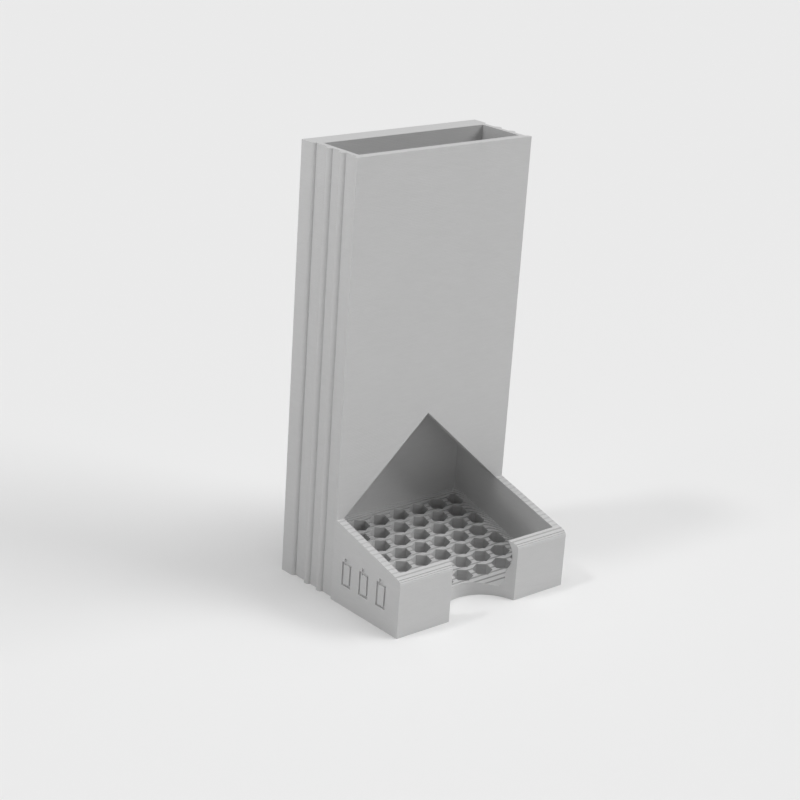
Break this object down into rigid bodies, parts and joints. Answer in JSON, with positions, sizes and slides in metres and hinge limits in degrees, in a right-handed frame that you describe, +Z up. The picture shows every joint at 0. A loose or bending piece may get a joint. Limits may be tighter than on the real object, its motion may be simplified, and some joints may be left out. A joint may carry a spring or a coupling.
{
  "type": "battery organizer",
  "caption": "Wall-mounted dispenser for small cells: a tall open shaft over a sloping honeycomb ramp, with a pointed mouth, a tray with a thumb notch, and a dovetail wall plate.",
  "frame": {"origin": "centre of the outline's rectangle on the surface that the organizer stands on", "axes": "+X to the right seen from the front, +Y towards the wall, +Z up"},
  "size_m": [0.05, 0.0416, 0.1015],
  "materials": {
    "body_plastic": "matt grey printed plastic with fine level layer lines",
    "plate_plastic": "matt grey printed plastic"
  },
  "bodies": {
    "wall_mount": {"wall_plate": "plate_plastic"},
    "organizer": {"back_panel": "body_plastic", "left_side": "body_plastic", "right_side": "body_plastic", "front_panel": "body_plastic", "left_cheek": "body_plastic", "right_cheek": "body_plastic", "left_lip": "body_plastic", "right_lip": "body_plastic", "honeycomb_ramp": "body_plastic"}
  },
  "joints": [
    {"name": "organizer_lift", "type": "slide", "parent": "wall_mount", "child": "organizer", "axis": [0, 0, 1], "range_m": [0, 0.095]}
  ]
}
